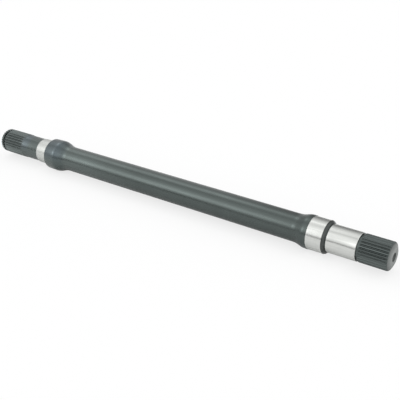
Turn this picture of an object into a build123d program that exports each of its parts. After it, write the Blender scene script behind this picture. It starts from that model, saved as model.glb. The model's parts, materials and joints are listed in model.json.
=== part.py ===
"""Axle shaft: a one-piece intermediate drive shaft, turned from a forging, with a spline at each end.

The shaft lies along X, inner end at -X and outer end at +X, with its origin on the axis in the middle
of the bearing seat. All sizes are in millimetres. Steps and depths are measured on the radius.
"""
from math import atan2, hypot, pi, radians, sqrt, tan
import os

from build123d import *

os.makedirs("parts", exist_ok=True)

# Splines: the same hobbed teeth at both ends, the outer tips turned down to let a bearing pass
tooth_count = 28
spline_pitch_diameter = 33.6
tooth_addendum = 0.7
tooth_dedendum = 0.9
tooth_flank_angle = 37.5
outer_tip_drop = 0.2
hob_radius = 13.0
hob_lift_arc = 50.0
hob_overrun = 0.4
hob_seat_gap = 0.2

# Inner end: lip, snap ring groove, spline, plain land and seal journal
inner_lip_length = 3.8
inner_lip_drop = 0.2
inner_lip_chamfer = 0.5
snap_ring_groove_width = 2.5
snap_ring_groove_depth = 2.7
inner_tooth_chamfer = 1.2
inner_spline_length = 39.2
inner_land_length = 31.6
inner_land_drop = 0.45
seal_journal_diameter = 35.6
seal_journal_length = 20.6
journal_lead_length = 1.0

# Forged middle: collar, bar and flare
collar_rim_diameter = 44.4
collar_rim_chamfer = 1.6
collar_crown_rise = 0.4
collar_length = 19.3
bar_diameter = 35.3
bar_length = 381.2
flare_rise = 0.35
flare_length = 6.4
forging_taper = 17.7
forging_blend_radius = 36.0
forging_blend_share = 0.6
crown_blend_radius = 20.0
crown_blend_share = 0.38

# Outer end: ring journal, shoulder, bearing seat, seal ring groove, spline and rounded end chamfer
ring_journal_diameter = 41.2
ring_journal_length = 20.3
shoulder_drop = 0.5
shoulder_length = 3.2
shoulder_chamfer = 2.0
bearing_seat_diameter = 35.0
bearing_seat_length = 37.7
bearing_seat_chamfer = 0.5
seal_ring_groove_width = 3.0
seal_ring_groove_depth = 1.9
outer_spline_length = 34.3
outer_chamfer_length = 2.5
outer_chamfer_height = 5.5
outer_chamfer_round = 2.5
outer_chamfer_share = 0.45

# Grinding reliefs at the foot of the seal journal and of the bearing seat
relief_width = 1.2
relief_depth = 0.25

# Centre drillings in both end faces
centre_hole_diameter = 5.0
centre_hole_depth = 13.0
centre_sink_diameter = 11.0
centre_sink_angle = 60.0

# Radii that follow from the driving sizes
pitch_radius = spline_pitch_diameter / 2
root_radius = pitch_radius - tooth_dedendum
inner_tip_radius = pitch_radius + tooth_addendum
outer_tip_radius = inner_tip_radius - outer_tip_drop
lip_radius = inner_tip_radius - inner_lip_drop
snap_ring_groove_radius = inner_tip_radius - snap_ring_groove_depth
land_radius = inner_tip_radius - inner_land_drop
seal_journal_radius = seal_journal_diameter / 2
collar_rim_radius = collar_rim_diameter / 2
collar_crown_radius = collar_rim_radius + collar_crown_rise
bar_radius = bar_diameter / 2
ring_journal_radius = ring_journal_diameter / 2
flare_radius = ring_journal_radius + flare_rise
shoulder_radius = ring_journal_radius - shoulder_drop
seat_radius = bearing_seat_diameter / 2
seal_ring_groove_radius = seat_radius - seal_ring_groove_depth
outer_face_radius = outer_tip_radius - outer_chamfer_height


def taper_length(radius_a, radius_b):
    """Length that the forging's draft needs between two radii."""
    return abs(radius_a - radius_b) / tan(radians(forging_taper))


# Stations along the shaft, counted from the inner end
x_snap_ring_groove = inner_lip_length
x_inner_teeth = x_snap_ring_groove + snap_ring_groove_width
x_land = x_inner_teeth + inner_spline_length
x_seal_journal = x_land + inner_land_length
x_collar = x_seal_journal + seal_journal_length
x_crown = x_collar + collar_length
x_bar = x_crown + taper_length(collar_crown_radius, bar_radius)
x_flare = x_bar + bar_length
x_flare_top = x_flare + taper_length(flare_radius, bar_radius)
x_ring_journal = x_flare_top + flare_length
x_shoulder = x_ring_journal + ring_journal_length
x_seat = x_shoulder + shoulder_length
x_seal_ring_groove = x_seat + bearing_seat_length
x_outer_teeth = x_seal_ring_groove + seal_ring_groove_width
x_outer_chamfer = x_outer_teeth + outer_spline_length
x_outer_end = x_outer_chamfer + outer_chamfer_length

# The origin is in the middle of the bearing seat's ground wall, from the relief to the chamfer
x_origin = (x_seat + relief_width + x_seal_ring_groove - bearing_seat_chamfer) / 2

# The turned outline above the axis, as stations and radii
outline = [
    (0, 0),
    (0, lip_radius - inner_lip_chamfer),
    (inner_lip_chamfer, lip_radius),
    (x_snap_ring_groove, lip_radius),
    (x_snap_ring_groove, snap_ring_groove_radius),
    (x_inner_teeth, snap_ring_groove_radius),
    (x_inner_teeth, inner_tip_radius - inner_tooth_chamfer),
    (x_inner_teeth + inner_tooth_chamfer, inner_tip_radius),
    (x_land, inner_tip_radius),
    (x_land + journal_lead_length, land_radius),
    (x_seal_journal, land_radius),
    (x_seal_journal + journal_lead_length, seal_journal_radius),
    (x_collar - relief_width, seal_journal_radius),
    (x_collar - relief_width, seal_journal_radius - relief_depth),
    (x_collar, seal_journal_radius - relief_depth),
    (x_collar, collar_rim_radius - collar_rim_chamfer),
    (x_collar + collar_rim_chamfer, collar_rim_radius),
    (x_crown, collar_crown_radius),
    (x_bar, bar_radius),
    (x_flare, bar_radius),
    (x_flare_top, flare_radius),
    (x_ring_journal, flare_radius),
    (x_ring_journal, ring_journal_radius),
    (x_shoulder, ring_journal_radius),
    (x_shoulder, shoulder_radius),
    (x_seat - shoulder_chamfer, shoulder_radius),
    (x_seat, shoulder_radius - shoulder_chamfer),
    (x_seat, seat_radius - relief_depth),
    (x_seat + relief_width, seat_radius - relief_depth),
    (x_seat + relief_width, seat_radius),
    (x_seal_ring_groove - bearing_seat_chamfer, seat_radius),
    (x_seal_ring_groove, seat_radius - bearing_seat_chamfer),
    (x_seal_ring_groove, seal_ring_groove_radius),
    (x_outer_teeth, seal_ring_groove_radius),
    (x_outer_teeth, outer_tip_radius),
    (x_outer_chamfer, outer_tip_radius),
    (x_outer_end, outer_face_radius),
    (x_outer_end, 0),
]


def in_frame(station):
    """Place along X of a station counted from the inner end."""
    return station - x_origin


def blend(profile, station, radius, blend_radius, turn, room):
    """Round one corner of the outline that turns by this angle, within the room beside it."""
    corner = profile.vertices().sort_by_distance((in_frame(station), radius))[0]
    fillet(corner, radius=min(blend_radius, room / tan(turn / 2)))


def lift_length(radius):
    """Distance along the shaft in which the hob lifts from the roots to this radius."""
    depth = radius - root_radius
    return sqrt(2 * hob_radius * depth - depth**2)


def tooth_gap(mouth, lift, leaves):
    """The space that the hob cuts between two teeth: straight from the mouth to the lift, then up out
    of the metal on the hob's own radius, towards +X where leaves is 1 and towards -X where it is -1."""
    flank_slope = tan(radians(tooth_flank_angle))
    circular_pitch = pi * spline_pitch_diameter / tooth_count
    half_gap = circular_pitch / 4
    top_radius = inner_tip_radius + hob_overrun
    half_root = half_gap - tooth_dedendum * flank_slope
    half_top = half_gap + (top_radius - pitch_radius) * flank_slope
    hob_axis = Axis((in_frame(lift), 0, root_radius + hob_radius), (0, 1, 0))
    with BuildPart() as gap:
        with BuildSketch(Plane.YZ.offset(in_frame(lift))) as section:
            with BuildLine():
                Polyline(
                    (-half_root, root_radius),
                    (half_root, root_radius),
                    (half_top, top_radius),
                    (-half_top, top_radius),
                    close=True,
                )
            make_face()
        extrude(amount=mouth - lift)
        revolve(section.sketch, axis=hob_axis, revolution_arc=-leaves * hob_lift_arc)
    return gap.part


# The inner teeth run out before the land, the outer ones over the seal ring groove, clear of the seat
x_inner_lift = x_land - lift_length(inner_tip_radius)
x_outer_lift = x_seal_ring_groove + hob_seat_gap + lift_length(max(seat_radius, outer_tip_radius))
inner_gap = tooth_gap(-hob_overrun, x_inner_lift, leaves=1)
outer_gap = tooth_gap(x_outer_end + hob_overrun, x_outer_lift, leaves=-1)

with BuildPart() as axle_shaft:
    # The forging, turned to its outline
    with BuildSketch(Plane.XZ) as profile:
        with BuildLine():
            Polyline(*[(in_frame(station), radius) for station, radius in outline], close=True)
        make_face()
        for foot, top, top_radius in (
            (x_bar, x_crown, collar_crown_radius),
            (x_flare, x_flare_top, flare_radius),
        ):
            draft = radians(forging_taper)
            taper = abs(foot - top)
            blend(profile, top, top_radius, crown_blend_radius, draft, crown_blend_share * taper)
            blend(profile, foot, bar_radius, forging_blend_radius, draft, forging_blend_share * taper)
        slope = atan2(outer_chamfer_height, outer_chamfer_length)
        room = outer_chamfer_share * hypot(outer_chamfer_length, outer_chamfer_height)
        blend(profile, x_outer_chamfer, outer_tip_radius, outer_chamfer_round, slope, room)
        blend(profile, x_outer_end, outer_face_radius, outer_chamfer_round, pi / 2 - slope, room)
    revolve(axis=Axis.X)

    # The splines, hobbed into both ends
    for tooth in range(tooth_count):
        turn = tooth * 360 / tooth_count
        add([inner_gap.rotate(Axis.X, turn), outer_gap.rotate(Axis.X, turn)], mode=Mode.SUBTRACT)

    # The centre drillings
    inner_face = Plane((in_frame(0), 0, 0), z_dir=(-1, 0, 0))
    outer_face = Plane((in_frame(x_outer_end), 0, 0), z_dir=(1, 0, 0))
    with Locations(inner_face, outer_face):
        CounterSinkHole(
            radius=centre_hole_diameter / 2,
            counter_sink_radius=centre_sink_diameter / 2,
            depth=centre_hole_depth,
            counter_sink_angle=centre_sink_angle,
        )

axle_shaft.part.label = "axle_shaft"
export_step(axle_shaft.part, "parts/axle_shaft.step")

print("length", round(x_outer_end, 2), "mm, volume", round(axle_shaft.part.volume), "mm3")
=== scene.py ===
# %% [markdown]
# # An axle shaft, dressed in Blender
# The shaft is one forging, 631 mm long: turned to its outline, hobbed with a spline at each end,
# phosphated dark and then ground bright on its seats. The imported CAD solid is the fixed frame. Its
# own mesh could be dressed as it is, but every edge on it is sharp. So this script makes a finer
# skin around the same axis, which stands in for the solid, and gives it the shaft's finishes.

# %% The frame
import json
from math import asin, atan2, cos, hypot, pi, radians, sin, sqrt, tan

import bmesh
import bpy
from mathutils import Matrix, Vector


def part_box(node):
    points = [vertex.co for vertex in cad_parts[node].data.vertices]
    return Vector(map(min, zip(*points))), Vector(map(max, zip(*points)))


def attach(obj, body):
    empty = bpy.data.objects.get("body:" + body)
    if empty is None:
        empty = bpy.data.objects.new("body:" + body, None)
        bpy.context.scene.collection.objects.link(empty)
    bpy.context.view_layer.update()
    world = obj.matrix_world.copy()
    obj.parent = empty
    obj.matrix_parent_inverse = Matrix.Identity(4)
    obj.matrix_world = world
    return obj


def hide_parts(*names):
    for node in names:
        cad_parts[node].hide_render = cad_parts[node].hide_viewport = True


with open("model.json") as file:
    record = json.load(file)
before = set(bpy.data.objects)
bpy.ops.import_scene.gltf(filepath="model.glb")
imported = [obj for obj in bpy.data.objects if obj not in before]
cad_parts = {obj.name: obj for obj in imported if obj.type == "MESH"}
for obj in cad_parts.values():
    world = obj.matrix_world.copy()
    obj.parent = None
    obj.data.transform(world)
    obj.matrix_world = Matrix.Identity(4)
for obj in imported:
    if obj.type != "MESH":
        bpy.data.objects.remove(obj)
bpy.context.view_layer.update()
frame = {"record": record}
low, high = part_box("axle_shaft")
print("CAD shaft from x", round(low.x, 4), "to", round(high.x, 4), "m")

# %% [markdown]
# ## Camera
# A product photographer stands back and uses a long lens, so that the shaft doesn't swell towards
# the near end. A camera could be set by eye, or turned to look at a point. Here its place, its turn
# and its drop below the horizon were worked out from the outline of the shaft in the photograph,
# so that the two can be laid over each other. The place is in metres, the angles are in degrees
# and the focal length is for a sensor 36 mm wide.

# %% Camera
camera_place = (0.28294, -0.68830, 0.40223)
camera_turn = 35.43
camera_drop = 25.63
camera_lens = 64.53
sensor_width = 36
sight_end = 40

camera_data = bpy.data.cameras.new("camera")
camera_data.lens = camera_lens
camera_data.sensor_width = sensor_width
camera_data.clip_end = sight_end
camera = bpy.data.objects.new("camera", camera_data)
camera.location = camera_place
camera.rotation_euler = (radians(90 - camera_drop), 0, radians(camera_turn))
bpy.context.scene.collection.objects.link(camera)
bpy.context.scene.camera = camera
print("camera", round(camera.location.length, 3), "m from the origin")

# %% [markdown]
# ## Sizes
# A turned part is a list of steps along its axis. The steps could be read off the solid's mesh, but
# a number with a name can be understood and changed. The sizes are in millimetres and in the order
# in which a lathe hand would read them off the drawing. Where the record states a seat, its radius
# and its place come from the record, so the skin can't drift away from the solid.

# %% Seats, from the record
MM = 0.001
seats = {mount["name"]: mount for mount in frame["record"]["mounts"]}


def seat(name):
    """Radius of a ground seat, and where it starts and ends along X, in millimetres."""
    dims = seats[name]["dims"]
    middle = seats[name]["pos_m"][0] / MM
    return dims["r_mm"], middle - dims["length_mm"] / 2, middle + dims["length_mm"] / 2


bearing_radius, bearing_start, bearing_end = seat("bearing_seat")
ring_radius, ring_start, ring_end = seat("ring_journal")
seal_radius, seal_start, seal_end = seat("seal_journal")
print("radii of the seats:", seal_radius, ring_radius, bearing_radius, "mm")

# %% Sizes of the splines
tooth_count = 28
pitch_radius = 16.8
root_radius = 15.9
inner_tip = 17.5
outer_tip = 17.3
flank_angle = radians(37.5)
hob_radius = 13.0
hob_seat_gap = 0.2
root_fillet = 0.3
tooth_edge = 0.12
print("teeth of module", round(2 * pitch_radius / tooth_count, 2), "mm")

# %% Sizes of the inner end
lip_length = 3.8
lip_radius = 17.3
lip_chamfer = 0.5
snap_groove_width = 2.5
snap_groove_radius = 14.8
tooth_entry = 1.2
inner_spline_length = 39.2
land_radius = 17.05
journal_lead = 1.0
relief_width = 1.2
relief_depth = 0.25
print("snap groove", round(inner_tip - snap_groove_radius, 2), "mm below the tooth tips")

# %% Sizes of the collar, the bar and the flare
rim_radius = 22.2
rim_chamfer = 1.6
rim_foot_round = 0.6
rim_round = 1.2
crown_radius = 22.6
crown_blend = 20.0
collar_length = 19.3
bar_radius = 17.65
forging_taper = radians(17.7)
forging_blend = 36.0
flare_length = 6.4
flare_radius = 20.95
print("the collar stands", round(crown_radius - bar_radius, 2), "mm above the bar")

# %% Sizes of the outer end
shoulder_radius = 20.1
shoulder_chamfer = 2.0
grinding_stop = 0.3
seat_chamfer = 0.5
seal_groove_width = 3.0
seal_groove_radius = 15.6
end_chamfer_length = 2.5
end_chamfer_height = 5.5
end_chamfer_round = 2.5
print("end face", 2 * round(outer_tip - end_chamfer_height, 2), "mm across")

# %% Sizes of the centre drillings
drill_radius = 2.5
drill_depth = 13.0
drill_point = radians(59)
sink_radius = 5.5
sink_angle = radians(30)
sink_depth = (sink_radius - drill_radius) / tan(sink_angle)
point_depth = drill_radius / tan(drill_point)
print("drilled", round(drill_depth + point_depth, 1), "mm deep, to the drill's point")

# %% Stations along the axis
x_inner = low.x / MM
x_outer = high.x / MM
x_snap = x_inner + lip_length
x_inner_teeth = x_snap + snap_groove_width
x_land = x_inner_teeth + inner_spline_length
x_seal_lead = seal_start - journal_lead
x_collar = seal_end + relief_width
x_crown = x_collar + collar_length
x_bar = x_crown + (crown_radius - bar_radius) / tan(forging_taper)
x_flare_top = ring_start - flare_length
x_flare = x_flare_top - (flare_radius - bar_radius) / tan(forging_taper)
x_seat = bearing_start - relief_width
x_seal_groove = bearing_end + seat_chamfer
x_outer_teeth = x_seal_groove + seal_groove_width
x_chamfer = x_outer - end_chamfer_length
print("bar from", round(x_bar, 1), "to", round(x_flare, 1), "mm")

# %% [markdown]
# ## The splines
# A hob cuts straight into the shaft and lifts out again on its own radius, so each gap between two
# teeth ends in a curved run-out. Boolean cuts could make the 56 gaps, but they tend to leave
# slivers where a cut fades out. The depth of a gap follows from two numbers: how far a place is
# from the middle of the gap, and how far the hob has travelled past the point where it lifts. That
# rule gives the skin directly.

# %% The gap that the hob leaves
pitch_angle = 2 * pi / tooth_count
half_pitch = pitch_angle / 2
half_gap = pi * pitch_radius / tooth_count / 2
half_root = half_gap - (pitch_radius - root_radius) * tan(flank_angle)
flank_rise = 1 / tan(flank_angle)
fillet_turn = pi / 2 - flank_angle
fillet_start = half_root - root_fillet * tan(fillet_turn / 2)
fillet_end = fillet_start + root_fillet * sin(fillet_turn)
hob_height = root_radius + hob_radius


def gap_height(y, travel):
    """Height above the axis of the cut surface, at y from the gap's middle and past the lift."""
    if y < fillet_start:
        z = root_radius
    elif y < fillet_end:
        z = root_radius + root_fillet - sqrt(root_fillet**2 - (y - fillet_start) ** 2)
    else:
        z = root_radius + (y - half_root) * flank_rise
    return hob_height - sqrt(max((hob_height - z) ** 2 - travel**2, 0))


print("gap", round(2 * half_gap, 3), "mm wide at the pitch radius, root", round(2 * half_root, 3))

# %% The gap's mouth and its run-out
halvings = 40


def mouth(radius, travel):
    """Half the width of the gap where it meets the turned surface, or 0 where there is no gap."""
    if gap_height(0, travel) >= radius:
        return 0
    narrow, wide = 0, radius * sin(half_pitch)
    for _ in range(halvings):
        middle = (narrow + wide) / 2
        if hypot(gap_height(middle, travel), middle) < radius:
            narrow = middle
        else:
            wide = middle
    return narrow


def run_out(radius):
    """How far past the lift the hob rises above this radius."""
    return sqrt(2 * hob_radius * (radius - root_radius) - (radius - root_radius) ** 2)


inner_lift = x_land - run_out(inner_tip)
outer_lift = x_seal_groove + hob_seat_gap + run_out(bearing_radius)
outer_rise = outer_lift - x_outer_teeth
print("run-outs", round(x_land - inner_lift, 2), "and", round(outer_rise, 2), "mm long")
print("mouth", round(2 * mouth(inner_tip, 0), 2), "mm wide at full depth")

# %% [markdown]
# ## The outline
# Each corner of the outline is a point with a round: the forging keeps its big, soft blends, and a
# turned edge gets the small break that a file or a tumbling drum leaves. A corner without a break
# looks like a computer's edge in any light, so even the sharp ones get a fraction of a millimetre.
# A Bevel modifier could round them, but it would need a weight for every edge. Here each corner
# carries its own round, and every stretch between two corners its finish.

# %% Finishes by name, and the rounds of the edges
finish_names = ("Phosphate", "Ground", "Spline", "Lip", "Track", "Shoulder", "End", "Sink", "Bore")
PHOSPHATE, GROUND, SPLINE, LIP, TRACK, SHOULDER, END, SINK, BORE = range(len(finish_names))
edge = 0.25
small_edge = 0.12
print(len(finish_names), "finishes, edges broken by", small_edge, "to", edge, "mm")

# %% Stations where the teeth run out
run_steps = 14

run_shares = [k / run_steps for k in range(run_steps)]
inner_run = [(inner_lift + run_out(inner_tip) * k, inner_tip, 0, SPLINE) for k in run_shares]
outer_run = [(outer_lift - outer_rise * k, outer_tip, 0, SPLINE) for k in reversed(run_shares)]
print("run-outs in steps of", round(run_out(inner_tip) / run_steps, 2), "mm")

# %% Outline of the inner end
# x, radius, size of the corner's round, finish of the stretch that follows
inner_outline = [
    (x_inner + drill_depth + point_depth, 0, 0, BORE),
    (x_inner + drill_depth, drill_radius, 0, BORE),
    (x_inner + sink_depth, drill_radius, small_edge, SINK),
    (x_inner, sink_radius, small_edge, LIP),
    (x_inner, root_radius, 0, LIP),
    (x_inner, lip_radius - lip_chamfer, small_edge, LIP),
    (x_inner + lip_chamfer, lip_radius, small_edge, SPLINE),
    (x_snap, lip_radius, small_edge, PHOSPHATE),
    (x_snap, snap_groove_radius, edge, PHOSPHATE),
    (x_inner_teeth, snap_groove_radius, edge, PHOSPHATE),
    (x_inner_teeth, inner_tip - tooth_entry, small_edge, SPLINE),
    (x_inner_teeth + tooth_entry, inner_tip, small_edge, SPLINE),
    *inner_run,
    (x_land, inner_tip, 0, PHOSPHATE),
    (x_land + journal_lead, land_radius, edge, PHOSPHATE),
    (x_seal_lead, land_radius, edge, PHOSPHATE),
    (seal_start, seal_radius, small_edge, TRACK),
    (seal_end, seal_radius, small_edge, PHOSPHATE),
    (seal_end, seal_radius - relief_depth, small_edge, PHOSPHATE),
    (x_collar, seal_radius - relief_depth, edge, PHOSPHATE),
]
print("inner end:", len(inner_outline), "corners")

# %% Outline of the collar, the bar and the flare
middle_outline = [
    (x_collar, rim_radius - rim_chamfer, rim_foot_round, PHOSPHATE),
    (x_collar + rim_chamfer, rim_radius, rim_round, PHOSPHATE),
    (x_crown, crown_radius, crown_blend, PHOSPHATE),
    (x_bar, bar_radius, forging_blend, PHOSPHATE),
    (x_flare, bar_radius, forging_blend, PHOSPHATE),
    (x_flare_top, flare_radius, crown_blend, PHOSPHATE),
]
print("middle:", len(middle_outline), "corners")

# %% Outline of the outer end
outer_outline = [
    (ring_start, flare_radius, small_edge, PHOSPHATE),
    (ring_start, ring_radius, 0, GROUND),
    # the wheel stops a little short of the shoulder, in the middle of a straight stretch
    (ring_end - grinding_stop, ring_radius, 0, SHOULDER),
    (ring_end, ring_radius, small_edge, SHOULDER),
    (ring_end, shoulder_radius, small_edge, SHOULDER),
    (x_seat - shoulder_chamfer, shoulder_radius, edge, SHOULDER),
    (x_seat, shoulder_radius - shoulder_chamfer, small_edge, SHOULDER),
    (x_seat, bearing_radius - relief_depth, small_edge, PHOSPHATE),
    (bearing_start, bearing_radius - relief_depth, small_edge, PHOSPHATE),
    (bearing_start, bearing_radius, small_edge, GROUND),
    (bearing_end, bearing_radius, small_edge, GROUND),
    (x_seal_groove, bearing_radius - seat_chamfer, small_edge, PHOSPHATE),
    (x_seal_groove, seal_groove_radius, edge, PHOSPHATE),
    (x_outer_teeth, seal_groove_radius, edge, PHOSPHATE),
    (x_outer_teeth, outer_tip, small_edge, SPLINE),
    *outer_run,
    (x_chamfer, outer_tip, end_chamfer_round, END),
    (x_outer, outer_tip - end_chamfer_height, end_chamfer_round, END),
    (x_outer, sink_radius, small_edge, SINK),
    (x_outer - sink_depth, drill_radius, small_edge, BORE),
    (x_outer - drill_depth, drill_radius, 0, BORE),
    (x_outer - drill_depth - point_depth, 0, 0, BORE),
]
outline = inner_outline + middle_outline + outer_outline
print("whole outline:", len(outline), "corners")

# %% Rounding the corners
big_round = 1.6
arc_steps = 10
edge_steps = 2
most_of_a_side = 0.45


def rounded(corners):
    """The outline as (x, radius, finish) points, with an arc at each corner that has a round."""
    points = []
    for i, (x, r, size, finish) in enumerate(corners):
        if size == 0:
            points.append((x, r, finish))
            continue
        here = Vector((x, r))
        back = Vector(corners[i - 1][:2]) - here
        ahead = Vector(corners[i + 1][:2]) - here
        turn = pi - back.angle(ahead)
        room = most_of_a_side * min(back.length, ahead.length)
        reach = min(size * tan(turn / 2), room)
        start = here + back.normalized() * reach
        end = here + ahead.normalized() * reach
        size = reach / tan(turn / 2)
        inwards = (back.normalized() + ahead.normalized()).normalized()
        centre = here + inwards * hypot(size, reach)
        spoke, last = start - centre, end - centre
        sweep = atan2(spoke.x * last.y - spoke.y * last.x, spoke.dot(last))
        steps = arc_steps if size > big_round else edge_steps
        for k in range(steps + 1):
            c, s = cos(sweep * k / steps), sin(sweep * k / steps)
            point = centre + Vector((spoke.x * c - spoke.y * s, spoke.x * s + spoke.y * c))
            points.append((point.x, point.y, finish if k == steps else corners[i - 1][3]))
    return points


turned = rounded(outline)
print("rounded outline:", len(turned), "points")

# %% [markdown]
# ## One pitch of the shaft
# The whole shaft repeats 28 times around its axis. A Screw modifier would turn the outline into a
# plain round, without teeth. So only one slice is made, from the middle of one tooth to the
# middle of the next, and Geometry Nodes turn it round the axis and weld the copies into one closed
# skin. Away from the splines a slice needs few points across, and where a fine row meets a coarse
# one, triangles zip them together.

# %% Points across one pitch
gap_shares = (0, 0.1, 0.2, 0.3, 0.65, 1)
edge_share = 0.35
crest_steps = 3
plain_steps = 5


def hobbed(x, radius):
    """True where the hob passed: outside the root, and short of the end of a run-out."""
    if radius < root_radius:
        return False
    return x <= x_snap or x_inner_teeth <= x <= x_land or x >= x_outer_teeth


def across(x, radius):
    """Angle and radius of the points across one pitch at a station, from one tooth to the next."""
    if not hobbed(x, radius):
        return [(half_pitch * (2 * k / plain_steps - 1), radius) for k in range(plain_steps + 1)]
    if x < inner_lift or x > outer_lift:
        travel = 0
    elif x <= x_land:
        travel = x - inner_lift
    else:
        travel = outer_lift - x
    width = mouth(radius, travel)
    broken = min(tooth_edge, edge_share * width)
    half = []
    for share in gap_shares:
        y = share * (width - broken)
        z = gap_height(y, travel) if width else radius
        half.append((atan2(y, z), hypot(y, z)))
    crest = asin(width / radius) + broken / radius
    for k in range(crest_steps + 1):
        half.append((crest + (half_pitch - crest) * k / crest_steps, radius))
    return [(-a, r) for a, r in reversed(half[1:])] + half


print("points across:", len(across(x_bar, bar_radius)), "plain,", end=" ")
print(len(across(x_inner_teeth, inner_tip)), "with teeth")


# %% Faces between two rows
def zip_rows(a, b, angles_a, angles_b):
    """Faces between two rows of points: quads where they match, else triangles by angle."""
    if len(a) == len(b):
        return [(a[k], a[k + 1], b[k + 1], b[k]) for k in range(len(a) - 1)]
    faces = []
    i = j = 0
    while i < len(a) - 1 or j < len(b) - 1:
        step_a = i < len(a) - 1 and (j == len(b) - 1 or angles_a[i + 1] <= angles_b[j + 1])
        if step_a:
            faces.append((a[i], a[i + 1], b[j]))
            i += 1
        else:
            faces.append((a[i], b[j + 1], b[j]))
            j += 1
    return faces


print("a row of 3 points zipped to one of 2:", zip_rows((0, 1, 2), (3, 4), (0, 1, 2), (0, 2)))

# %% The slice
points, faces, finishes = [], [], []
before = None
for x, radius, finish in turned:
    row = across(x, radius)
    ids = list(range(len(points), len(points) + len(row)))
    points += [(x * MM, r * sin(a) * MM, r * cos(a) * MM) for a, r in row]
    angles = [a for a, _ in row]
    if before:
        new = zip_rows(before[0], ids, before[1], angles)
        faces += new
        finishes += [before[2]] * len(new)
    before = (ids, angles, finish)

slice_mesh = bpy.data.meshes.new("one_pitch")
slice_mesh.from_pydata(points, [], faces)
slice_mesh.attributes.new("finish", "INT", "FACE").data.foreach_set("value", finishes)
slice_object = bpy.data.objects.new("one_pitch", slice_mesh)
bpy.context.scene.collection.objects.link(slice_object)
print("one pitch:", len(points), "points,", len(faces), "faces")

# %% [markdown]
# ## Finishes
# The shaft comes out of its phosphate bath dark grey with a green cast: a crystalline skin, a
# little oily, that blurs what it mirrors. Its colour is also set paler towards the inner end, bluish
# on the upper side of the collar and of the land beside the inner spline, and paler on the inner
# lip and the outer end face. Painted shade darkens the collar's taper, where it shows a dark
# reflection, and the centre holes' sink and bore; painted shade and light run across the outer
# end's round, dark at the teeth and light at the face. The seats are ground afterwards, so they are
# bare steel, with fine lines that run round the shaft and faint streaks from parts pushed over them.
# The seal's track is a little duller. A painted image could hold all this, but it needs a UV map and
# blurs close up. So colour, roughness and relief come from noise and from places in the object's
# own coordinates, which stay with the shaft when it is seen from another side.

# %% A material and its noise
# stretch along X, Y and Z, patches in a metre, and detail
cloud_noise = ((1, 1, 1), 45, 3)
grain_noise = ((1, 1, 1), 1800, 2)
drawn_noise = ((0.05, 1, 1), 260, 2)
patch_noise = ((1, 1, 1), 28, 1)


def new_material(name):
    """An empty node material with its Principled shader."""
    made = bpy.data.materials.new(name)
    made.use_nodes = True
    return made, made.node_tree.nodes, made.node_tree.links, made.node_tree.nodes["Principled BSDF"]


def stretched_noise(nodes, links, stretch, scale, detail):
    """Noise on Object coordinates, stretched along the axes: a small factor makes a long grain."""
    place = nodes.new("ShaderNodeTexCoord")
    mapping = nodes.new("ShaderNodeMapping")
    mapping.inputs["Scale"].default_value = stretch
    noise = nodes.new("ShaderNodeTexNoise")
    noise.inputs["Scale"].default_value = scale
    noise.inputs["Detail"].default_value = detail
    links.new(place.outputs["Object"], mapping.inputs["Vector"])
    links.new(mapping.outputs["Vector"], noise.inputs["Vector"])
    return noise.outputs["Fac"]


print("clouds", round(1 / cloud_noise[1] / MM), "mm across, grain", end=" ")
print(round(1 / grain_noise[1] / MM, 1), "mm")

# %% Ranges, blends and products
no_tint = (1.0, 1.0, 1.0)
blue_tint = (1.02, 1.03, 1.13)
olive_tint = (1.0, 1.0, 0.985)
# painted shade: this factor darkens the collar's taper, where it shows a dark reflection
taper_painted_shade = (0.85, 0.87, 0.87)


def spread(nodes, links, value, low_in, high_in, low_out, high_out):
    """The value, spread from one range to another."""
    ranged = nodes.new("ShaderNodeMapRange")
    ends = (("From Min", low_in), ("From Max", high_in), ("To Min", low_out), ("To Max", high_out))
    for socket, number in ends:
        ranged.inputs[socket].default_value = number
    links.new(value, ranged.inputs["Value"])
    return ranged.outputs["Result"]


def blended(nodes, links, share, dark, light):
    """A colour between two, by the share."""
    mix = nodes.new("ShaderNodeMix")
    mix.data_type = "RGBA"
    mix.inputs["A"].default_value = (*dark, 1)
    mix.inputs["B"].default_value = (*light, 1)
    links.new(share, mix.inputs["Factor"])
    return mix.outputs["Result"]


def product(nodes, links, a, b):
    """Two values or two colours, multiplied."""
    both = nodes.new("ShaderNodeVectorMath")
    both.operation = "MULTIPLY"
    links.new(a, both.inputs[0])
    links.new(b, both.inputs[1])
    return both.outputs[0]


print("tints of the phosphate: bluish", blue_tint, "and on the taper", taper_painted_shade)

# %% Relief
cloud_depth = 0.00002
grain_depth = 0.000012


def relief(nodes, links, height, depth, under=None):
    """A bump of that depth in metres, on top of another where one is given."""
    bump = nodes.new("ShaderNodeBump")
    bump.inputs["Distance"].default_value = depth
    links.new(height, bump.inputs["Height"])
    if under:
        links.new(under, bump.inputs["Normal"])
    return bump.outputs["Normal"]


print("relief of the phosphate:", [round(depth / MM, 3) for depth in (cloud_depth, grain_depth)])

# %% Places along the shaft
# in metres: start, end, value at the start, value at the end
pale_inner_end = (-0.4, -0.3, 1.3, 1)
end_round_painted_shade = (0.0552, 0.0578, 0.4, 1.1)
# painted shade and light across the outer end's round: darkest at the teeth, palest on the face
upper_side = (-0.002, 0.008, 0, 1)
# in metres along X: start, full, fading, gone
blue_bands = ((-0.532, -0.526, -0.518, -0.511), (-0.478, -0.472, -0.452, -0.436))
# painted shade: the stretch along X where the collar's taper is darkened
taper_shade_band = (-0.458, -0.454, -0.444, -0.437)


def along(nodes, links, axis, start, end, at_start, at_end):
    """A value that changes along one axis of the object from one place in metres to another."""
    place = nodes.new("ShaderNodeTexCoord")
    split = nodes.new("ShaderNodeSeparateXYZ")
    links.new(place.outputs["Object"], split.inputs[0])
    return spread(nodes, links, split.outputs[axis], start, end, at_start, at_end)


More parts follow.
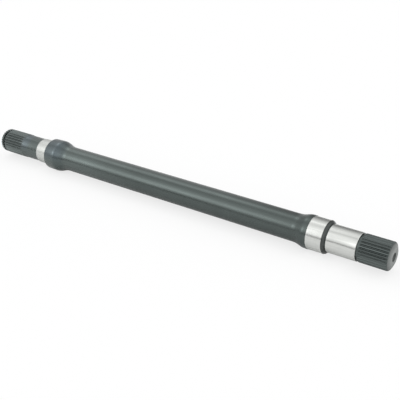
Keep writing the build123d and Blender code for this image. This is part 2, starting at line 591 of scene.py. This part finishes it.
def band(nodes, links, start, full, fading, gone):
    """A share that rises from 0 to 1 between two places along X and falls between two more."""
    rise = along(nodes, links, "X", start, full, 0, 1)
    return product(nodes, links, rise, along(nodes, links, "X", fading, gone, 1, 0))


print("blue bands", [round((gone - start) / MM) for start, _, _, gone in blue_bands], "mm long")

# %% Phosphate, on the forged skin
patch_range = (0.3, 0.5, 0.5, 1)
drawn_range = (0.3, 0.7)


def phosphate(name, dark, light, smooth, rough, paling_and_painted_shade=pale_inner_end):
    """Dark phosphated steel between two colours and two values of roughness, scaled along X: paler
    to one end by default, painted shade and light on the end finish.
    """
    made, nodes, links, shader = new_material(name)
    clouds = stretched_noise(nodes, links, *cloud_noise)
    grain = stretched_noise(nodes, links, *grain_noise)
    drawn = stretched_noise(nodes, links, *drawn_noise)
    patches = spread(nodes, links, stretched_noise(nodes, links, *patch_noise), *patch_range)
    blue_upper = product(nodes, links, patches, along(nodes, links, "Z", *upper_side))
    tints_and_shade = [(blue_upper, stretch, no_tint, blue_tint) for stretch in blue_bands]
    # inside the taper band the colour is darkened as painted shade; outside it the olive cast stays
    tints_and_shade.append((patches, taper_shade_band, olive_tint, taper_painted_shade))
    colour = blended(nodes, links, clouds, dark, light)
    colour = product(nodes, links, colour, along(nodes, links, "X", *paling_and_painted_shade))
    for share, stretch, outside, inside in tints_and_shade:
        here = product(nodes, links, share, band(nodes, links, *stretch))
        colour = product(nodes, links, colour, blended(nodes, links, here, outside, inside))
    shader.inputs["Metallic"].default_value = 1
    links.new(colour, shader.inputs["Base Color"])
    roughness = spread(nodes, links, drawn, *drawn_range, smooth, rough)
    links.new(roughness, shader.inputs["Roughness"])
    scale_marks = relief(nodes, links, clouds, cloud_depth)
    links.new(relief(nodes, links, grain, grain_depth, scale_marks), shader.inputs["Normal"])
    return made


forged_dark, forged_light = (0.069, 0.081, 0.079), (0.082, 0.097, 0.095)
forged_skin = phosphate("forged_phosphate", forged_dark, forged_light, 0.24, 0.32)
print("forged phosphate:", len(forged_skin.node_tree.nodes), "nodes")

# %% The other phosphated finishes
phosphated = (
    # finish, name, dark colour, light colour, smoothest, roughest
    ("Spline", "spline_phosphate", (0.073, 0.084, 0.083), (0.089, 0.103, 0.102), 0.3, 0.42),
    ("Shoulder", "shoulder_phosphate", (0.062, 0.067, 0.066), (0.076, 0.083, 0.082), 0.3, 0.42),
    ("Lip", "lip_phosphate", (0.18, 0.192, 0.19), (0.25, 0.264, 0.262), 0.4, 0.5),
    # the end's colour is scaled by painted shade and light across its round
    ("End", "end_phosphate", (0.152, 0.162, 0.16), (0.21, 0.222, 0.22), 0.4, 0.5, end_round_painted_shade),
    # the sink and the bore are made dark as painted shade in the centre holes
    ("Sink", "sink_painted_shade", (0.055, 0.06, 0.059), (0.077, 0.084, 0.083), 0.4, 0.5),
    ("Bore", "bore_painted_shade", (0.018, 0.02, 0.02), (0.024, 0.027, 0.026), 0.4, 0.5),
)
skins = {"Phosphate": forged_skin}
skins |= {finish: phosphate(*recipe) for finish, *recipe in phosphated}
print("phosphated:", ", ".join(skins))

# %% Ground steel, on the seats
wheel_noise = ((1, 0.01, 0.01), 2600, 3)
streak_noise = ((0.03, 1, 1), 420, 2)
ground_range = (0.35, 0.65)
wheel_depth = 0.000004


def ground(name, dark, light, smooth, rough):
    """Bare steel, with fine lines from the wheel and faint streaks from parts pushed on."""
    made, nodes, links, shader = new_material(name)
    lines = stretched_noise(nodes, links, *wheel_noise)
    streaks = stretched_noise(nodes, links, *streak_noise)
    shader.inputs["Metallic"].default_value = 1
    shade = spread(nodes, links, streaks, *ground_range, 0, 1)
    links.new(blended(nodes, links, shade, dark, light), shader.inputs["Base Color"])
    roughness = spread(nodes, links, lines, *ground_range, smooth, rough)
    links.new(roughness, shader.inputs["Roughness"])
    links.new(relief(nodes, links, lines, wheel_depth), shader.inputs["Normal"])
    return made


ground_bright = (
    # finish, name, dark colour, light colour, smoothest, roughest
    ("Ground", "ground_steel", (0.50, 0.51, 0.493), (0.55, 0.56, 0.542), 0.17, 0.25),
    ("Track", "seal_track_steel", (0.475, 0.488, 0.47), (0.52, 0.535, 0.516), 0.34, 0.42),
)
skins |= {finish: ground(*recipe) for finish, *recipe in ground_bright}
print("with the ground seats:", len(skins), "materials")

# %% [markdown]
# ## From one pitch to the whole shaft
# An Array modifier could repeat the slice, with an empty to turn each copy. Geometry Nodes do the
# same without a helper object, and dress the skin as well. The tree puts 28 points on the origin,
# hangs the slice on each, turns each copy about the axis by its number, makes the copies real and
# welds their edges. Then it gives every face the material of its finish. The export drops
# instances, so the result is turned into a plain mesh.

# %% The tree's inputs
tree = bpy.data.node_groups.new("shaft_from_pitch", "GeometryNodeTree")
kinds = {"Slice": "NodeSocketGeometry", "Teeth": "NodeSocketInt", "Weld": "NodeSocketFloat"}
kinds |= {name: "NodeSocketMaterial" for name in finish_names}
inputs = {}
for name, kind in kinds.items():
    inputs[name] = tree.interface.new_socket(name=name, in_out="INPUT", socket_type=kind)
tree.interface.new_socket(name="Shaft", in_out="OUTPUT", socket_type="NodeSocketGeometry")
print("the tree takes", ", ".join(inputs))


# %% Copies turned about the axis
def arithmetic(nodes, links, operation, a, b):
    """A Math node on two values, each a socket or a number."""
    made = nodes.new("ShaderNodeMath")
    made.operation = operation
    for socket, value in zip(made.inputs, (a, b)):
        if isinstance(value, bpy.types.NodeSocket):
            links.new(value, socket)
        else:
            socket.default_value = value
    return made.outputs[0]


def node(kind, **values):
    """The first output of a new node of the tree, with its inputs linked or set."""
    made = tree.nodes.new(kind)
    for socket, value in values.items():
        if isinstance(value, bpy.types.NodeSocket):
            tree.links.new(value, made.inputs[socket])
        else:
            made.inputs[socket].default_value = value
    return made.outputs[0]


given = tree.nodes.new("NodeGroupInput").outputs
pitch = arithmetic(tree.nodes, tree.links, "DIVIDE", 2 * pi, given["Teeth"])
number = node("GeometryNodeInputIndex")
turn = arithmetic(tree.nodes, tree.links, "MULTIPLY", number, pitch)
turned_to = node("FunctionNodeEulerToRotation", Euler=node("ShaderNodeCombineXYZ", X=turn))
hubs = node("GeometryNodePoints", Count=given["Teeth"])
copies = node(
    "GeometryNodeInstanceOnPoints", Points=hubs, Instance=given["Slice"], Rotation=turned_to
)
real = node("GeometryNodeRealizeInstances", Geometry=copies)
welded = node("GeometryNodeMergeByDistance", Geometry=real, Distance=given["Weld"])
print("so far", len(tree.nodes), "nodes")

# %% A material for each finish
stamp = tree.nodes.new("GeometryNodeInputNamedAttribute")
stamp.data_type = "INT"
stamp.inputs["Name"].default_value = "finish"
dressed = welded
for code, name in enumerate(finish_names):
    same = tree.nodes.new("FunctionNodeCompare")
    same.data_type = "INT"
    same.operation = "EQUAL"
    a, b = [socket for socket in same.inputs if socket.type == "INT"]
    tree.links.new(stamp.outputs["Attribute"], a)
    b.default_value = code
    dressed = node(
        "GeometryNodeSetMaterial",
        Geometry=dressed,
        Selection=same.outputs[0],
        Material=given[name],
    )
result = tree.nodes.new("NodeGroupOutput")
tree.links.new(dressed, result.inputs["Shaft"])
print("the whole tree:", len(tree.nodes), "nodes")

# %% Running the tree
weld = 0.000001

# without a material of its own, the slice would leave an empty slot in front of the nine
slice_mesh.materials.append(forged_skin)
maker = slice_object.modifiers.new("whole_shaft", "NODES")
maker.node_group = tree
for name, value in {"Teeth": tooth_count, "Weld": weld, **skins}.items():
    maker[inputs[name].identifier] = value
seen = bpy.context.evaluated_depsgraph_get()
shaft_mesh = bpy.data.meshes.new_from_object(slice_object.evaluated_get(seen), depsgraph=seen)
shaft_mesh.name = "axle_shaft_skin"
slice_object.modifiers.remove(maker)
bpy.data.objects.remove(slice_object)
print("whole shaft:", len(shaft_mesh.vertices), "points,", len(shaft_mesh.materials), "materials")

# %% Closing and shading the skin
sharpest = radians(20)

solid = bmesh.new()
solid.from_mesh(shaft_mesh)
bmesh.ops.remove_doubles(solid, verts=solid.verts, dist=weld)
bmesh.ops.dissolve_degenerate(solid, edges=solid.edges, dist=weld)
bmesh.ops.recalc_face_normals(solid, faces=solid.faces)
loose = [e for e in solid.edges if len(e.link_faces) != 2]
print("skin:", len(solid.faces), "faces,", len(loose), "open edges,", end=" ")
print("volume", round(solid.calc_volume() / MM**3), "mm3")
solid.to_mesh(shaft_mesh)
solid.free()
shaft_mesh.shade_smooth()
shaft_mesh.set_sharp_from_angle(angle=sharpest)

# %% The piece
shaft = bpy.data.objects.new("axle_shaft_skin", shaft_mesh)
bpy.context.scene.collection.objects.link(shaft)
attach(shaft, "root")
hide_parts("axle_shaft")
print("skin", [round(side, 4) for side in shaft.dimensions], "m")

# %% [markdown]
# ## Light
# The shaft lies in a white tent, with a long soft light low in front of it, another overhead, a
# darker gap between the two and a dimmer back. Bright metal shows them as streaks along the shaft.
# Area lamps could stand there, but each would have to be moved until its reflection falls right. So
# all of the light comes from the world, as a brightness for each angle from the front horizon over
# the top to the back. The lights are strongest in one part of the tent, so the brightness changes
# along X as well: five colour ramps hold it, and the direction's X blends each into the next.

# %% The tent's brightness
# each part: degrees from the front horizon over the top to the back one, and the brightness there
tent_inner = (
    (0, 0.3), (4, 0.3), (9, 1.1), (16, 1.3), (24, 1.45), (30, 1.55), (38, 1.5), (46, 1.4),
    (62, 1.35), (72, 1.2), (82, 0.9), (94, 1.05), (104, 1.2), (114, 1.05), (128, 0.95),
    (150, 0.8), (180, 0.55),
)
tent_middle = (
    (0, 0.3), (4, 0.3), (9, 1.1), (18, 2.4), (26, 4.4), (38, 4.3), (46, 2.2), (62, 1.65),
    (72, 1.45), (82, 1.1), (92, 1.5), (99, 3.0), (112, 3.0), (120, 1.8), (130, 1.2), (150, 1.1),
    (180, 0.9),
)
tent_outer = (
    (0, 0.2), (4, 0.2), (9, 1.0), (16, 1.2), (24, 1.25), (30, 1.2), (38, 1.2), (46, 1.3),
    (56, 1.55), (66, 1.45), (74, 1.15), (82, 1.05), (94, 1.4), (104, 1.4), (114, 1.2), (124, 1.0),
    (134, 0.8), (144, 0.5), (152, 0.38), (180, 0.3),
)
tent_facing = (
    (0, 0.3), (4, 0.3), (9, 1.1), (16, 1.6), (24, 2.3), (36, 2.3), (46, 1.55), (60, 1.45),
    (74, 1.15), (82, 1.0), (94, 1.3), (104, 1.3), (114, 1.1), (134, 0.8), (150, 0.6), (180, 0.4),
)
tent_near = ((0, 0.6), (20, 1.4), (60, 1.5), (90, 1.3), (120, 1.5), (150, 1.5), (180, 0.9))
tent_parts = (tent_inner, tent_middle, tent_outer, tent_facing, tent_near)
# the X of the direction at which one part starts to change into the next, and where it has
tent_changes = ((-0.68, -0.6), (-0.5, -0.385), (-0.27, -0.12), (0.35, 0.6))
brightest = max(b for stops in tent_parts for _, b in stops)
print("brightest", brightest, "in", len(tent_parts), "parts")

# %% How bright a white floor gets
cell_middle = 0.5


def brightness(stops, degrees_up):
    """The brightness at an angle above the front horizon, between the stops beside it."""
    for (a, p), (b, q) in zip(stops, stops[1:]):
        if a <= degrees_up <= b:
            return p + (q - p) * (degrees_up - a) / (b - a)


def passed(x, start, end):
    """How far a direction's X has gone from the start to the end, from 0 to 1."""
    return min(max((x - start) / (end - start), 0), 1)


def light_on_floor():
    """The light on a floor that nothing shades, summed over the tent in cells of one degree."""
    total = 0
    for d in range(180):
        up = d + cell_middle
        levels = [brightness(stops, up) for stops in tent_parts]
        for k in range(180):
            from_x = radians(k + cell_middle)
            level = levels[0]
            for (start, end), after in zip(tent_changes, levels[1:]):
                level += (after - level) * passed(cos(from_x), start, end)
            total += level * sin(radians(up)) * sin(from_x) ** 2
    return total * radians(1) ** 2 / pi


floor_light = light_on_floor()
print("light on the floor", round(floor_light, 3))

# %% The world, and the share of each direction from front to back
world = bpy.data.worlds.new("studio")
bpy.context.scene.world = world
world.use_nodes = True
nodes, links = world.node_tree.nodes, world.node_tree.links
place = nodes.new("ShaderNodeTexCoord")
direction = nodes.new("ShaderNodeSeparateXYZ")
links.new(place.outputs["Generated"], direction.inputs[0])
front = arithmetic(nodes, links, "MULTIPLY", direction.outputs["Y"], -1)
around = arithmetic(nodes, links, "ARCTAN2", direction.outputs["Z"], front)
from_front = arithmetic(nodes, links, "DIVIDE", around, pi)
print("the direction takes", len(nodes), "nodes")


# %% The tent's five ramps, each blended into the next
def tent_ramp(stops):
    """A colour ramp with the brightness of one part of the tent."""
    ramp = nodes.new("ShaderNodeValToRGB")
    links.new(from_front, ramp.inputs["Fac"])
    elements = ramp.color_ramp.elements
    elements[0].position, elements[1].position = 0, 1
    for degrees_up, _ in stops[1:-1]:
        elements.new(degrees_up / 180)
    for element, (degrees_up, b) in zip(elements, stops):
        element.position = degrees_up / 180
        element.color = (b / brightest, b / brightest, b / brightest, 1)
    return ramp.outputs["Color"]


def tent_mix(start, end, before, after):
    """One part of the tent, which changes into the next between two values of the X."""
    mix = nodes.new("ShaderNodeMix")
    mix.data_type = "RGBA"
    passing = spread(nodes, links, direction.outputs["X"], start, end, 0, 1)
    links.new(passing, mix.inputs["Factor"])
    links.new(before, mix.inputs["A"])
    links.new(after, mix.inputs["B"])
    return mix.outputs["Result"]


tent = tent_ramp(tent_inner)
for (start, end), stops in zip(tent_changes, tent_parts[1:]):
    tent = tent_mix(start, end, tent, tent_ramp(stops))
print("stops of the ramps:", [len(stops) for stops in tent_parts])

# %% White where the camera looks past the floor
white = 1 / brightest

seen_ray = nodes.new("ShaderNodeLightPath")
backdrop = nodes.new("ShaderNodeMix")
backdrop.data_type = "RGBA"
links.new(seen_ray.outputs["Is Camera Ray"], backdrop.inputs["Factor"])
links.new(tent, backdrop.inputs["A"])
backdrop.inputs["B"].default_value = (white, white, white, 1)
sky = nodes["Background"]
links.new(backdrop.outputs["Result"], sky.inputs["Color"])
sky.inputs["Strength"].default_value = brightest
print("the camera sees a backdrop of", round(white * brightest, 3))

# %% [markdown]
# ## Floor
# White paper, which runs on out of sight. A plain white plane would do under brighter light, but
# more light would bleach the shaft. So the metal mirrors the paper as it is, and for the camera
# most of its brightness is its own glow: the background ends up white, and the shadow under the
# shaft stays, faint.

# %% The paper
floor_size = 6.0
floor_height = low.z

floor_mesh = bpy.data.meshes.new("floor")
signs = ((-1, -1), (1, -1), (1, 1), (-1, 1))
corners = [(floor_size * x, floor_size * y, floor_height) for x, y in signs]
floor_mesh.from_pydata(corners, [], [(0, 1, 2, 3)])
floor = bpy.data.objects.new("floor", floor_mesh)
bpy.context.scene.collection.objects.link(floor)
print("floor at z", round(floor_height, 4), "m")

# %% The paper's white
paper_white = 0.9
paper_for_camera = 0.2
camera_glow = 1 - paper_for_camera * floor_light

floor_paper, nodes, links, shader = new_material("floor_paper")
shader.inputs["Roughness"].default_value = 1
shader.inputs["Specular IOR Level"].default_value = 0
shader.inputs["Emission Color"].default_value = (1, 1, 1, 1)
is_camera = nodes.new("ShaderNodeLightPath").outputs["Is Camera Ray"]
paper = blended(nodes, links, is_camera, (paper_white,) * 3, (paper_for_camera,) * 3)
links.new(paper, shader.inputs["Base Color"])
glow = arithmetic(nodes, links, "MULTIPLY", is_camera, camera_glow)
links.new(glow, shader.inputs["Emission Strength"])
floor_mesh.materials.append(floor_paper)
print("the paper glows with", round(camera_glow, 3), "for the camera")

# %% [markdown]
# ## The end
# The view transform Standard shows colours as they are written, where the default one would dull
# the white paper.

# %% The view, and the end
bpy.context.scene.view_settings.view_transform = "Standard"
